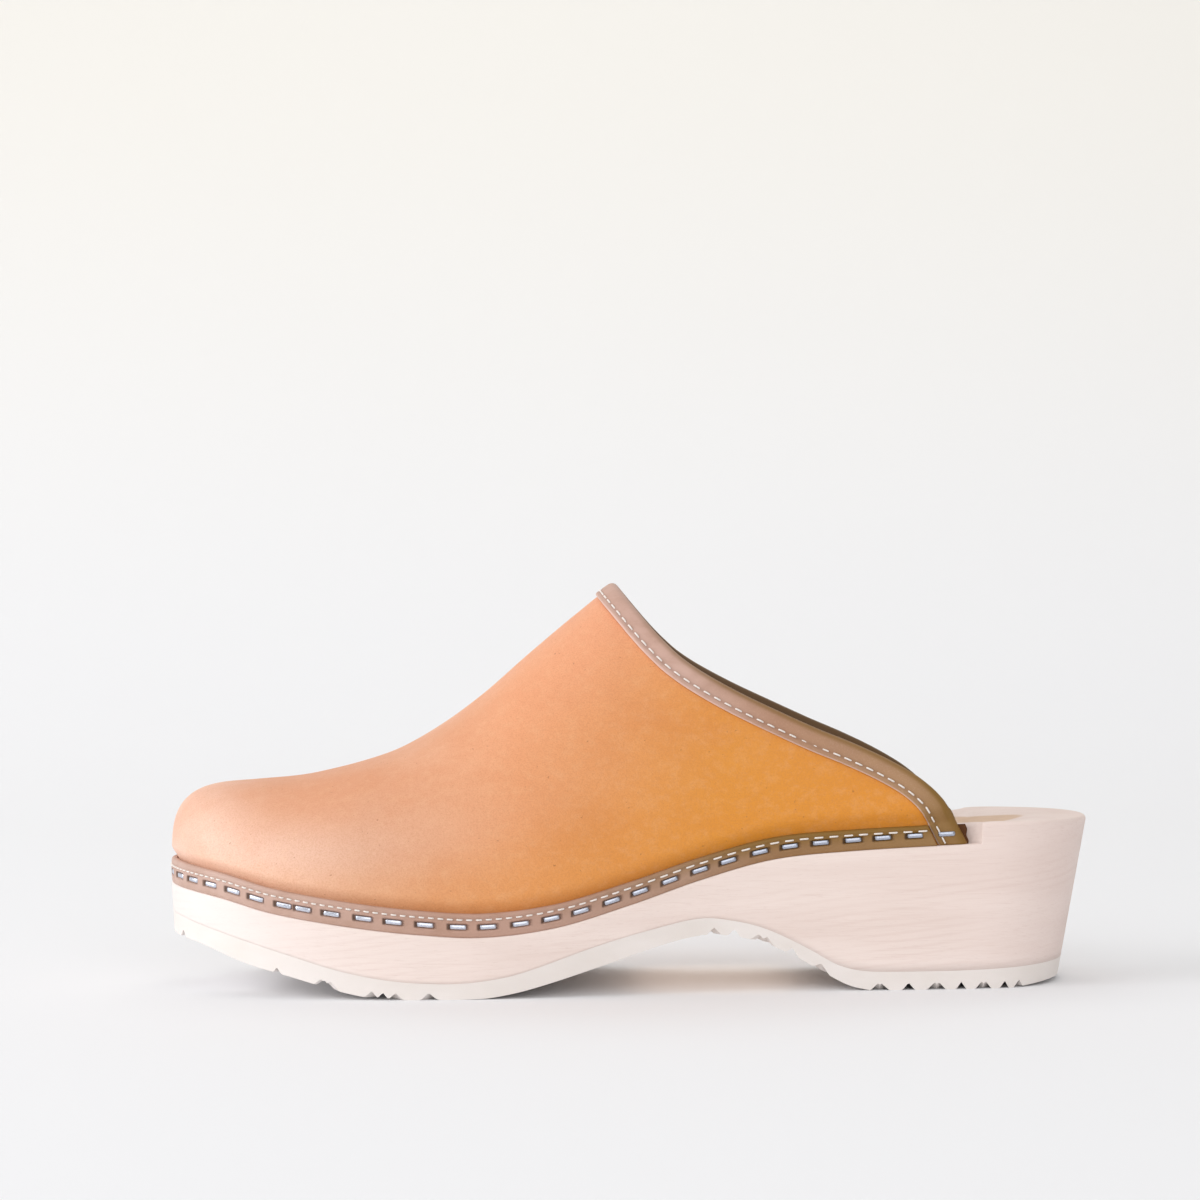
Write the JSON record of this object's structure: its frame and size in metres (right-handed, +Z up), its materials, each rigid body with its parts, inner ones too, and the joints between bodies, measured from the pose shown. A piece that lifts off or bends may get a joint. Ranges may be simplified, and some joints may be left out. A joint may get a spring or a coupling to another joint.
{
  "type": "wooden clog",
  "caption": "Left-foot clog with a carved wooden sole, a rubber outsole and a closed-toe leather upper stapled round its edge through a welt strip.",
  "frame": {"origin": "on the ground under the middle of the clog's box", "axes": "+X from the toe towards the heel, +Z up, -Y the outer side of the foot"},
  "size_m": [0.2588, 0.0958, 0.1123],
  "materials": {
    "wood": "fine sanded, unvarnished alder or lime",
    "outsole_rubber": "matte, off-white",
    "upper_leather": "smooth vegetable-tanned, low sheen",
    "trim_leather": "thin soft leather, low sheen",
    "puff_board": "stiff pressed board",
    "seam_thread": "waxed thread",
    "staple_steel": "plain bright wire"
  },
  "bodies": {
    "root": {"wooden_sole": "wood", "rubber_outsole": "outsole_rubber", "leather_upper": "upper_leather", "toe_puff": "puff_board", "collar_binding": "trim_leather", "welt_strip": "trim_leather", "collar_thread": "seam_thread", "welt_thread": "seam_thread", "outer_staple_01": "staple_steel", "outer_staple_02": "staple_steel", "outer_staple_03": "staple_steel", "outer_staple_04": "staple_steel", "outer_staple_05": "staple_steel", "outer_staple_06": "staple_steel", "outer_staple_07": "staple_steel", "outer_staple_08": "staple_steel", "outer_staple_09": "staple_steel", "outer_staple_10": "staple_steel", "outer_staple_11": "staple_steel", "outer_staple_12": "staple_steel", "outer_staple_13": "staple_steel", "outer_staple_14": "staple_steel", "outer_staple_15": "staple_steel", "outer_staple_16": "staple_steel", "outer_staple_17": "staple_steel", "outer_staple_18": "staple_steel", "outer_staple_19": "staple_steel", "outer_staple_20": "staple_steel", "outer_staple_21": "staple_steel", "outer_staple_22": "staple_steel", "outer_staple_23": "staple_steel", "outer_staple_24": "staple_steel", "outer_staple_25": "staple_steel", "outer_staple_26": "staple_steel", "outer_staple_27": "staple_steel", "outer_staple_28": "staple_steel", "outer_staple_29": "staple_steel", "inner_staple_01": "staple_steel", "inner_staple_02": "staple_steel", "inner_staple_03": "staple_steel", "inner_staple_04": "staple_steel", "inner_staple_05": "staple_steel", "inner_staple_06": "staple_steel", "inner_staple_07": "staple_steel", "inner_staple_08": "staple_steel", "inner_staple_09": "staple_steel", "inner_staple_10": "staple_steel", "inner_staple_11": "staple_steel", "inner_staple_12": "staple_steel", "inner_staple_13": "staple_steel", "inner_staple_14": "staple_steel", "inner_staple_15": "staple_steel", "inner_staple_16": "staple_steel", "inner_staple_17": "staple_steel", "inner_staple_18": "staple_steel", "inner_staple_19": "staple_steel", "inner_staple_20": "staple_steel", "inner_staple_21": "staple_steel", "inner_staple_22": "staple_steel", "inner_staple_23": "staple_steel"}
  },
  "joints": []
}
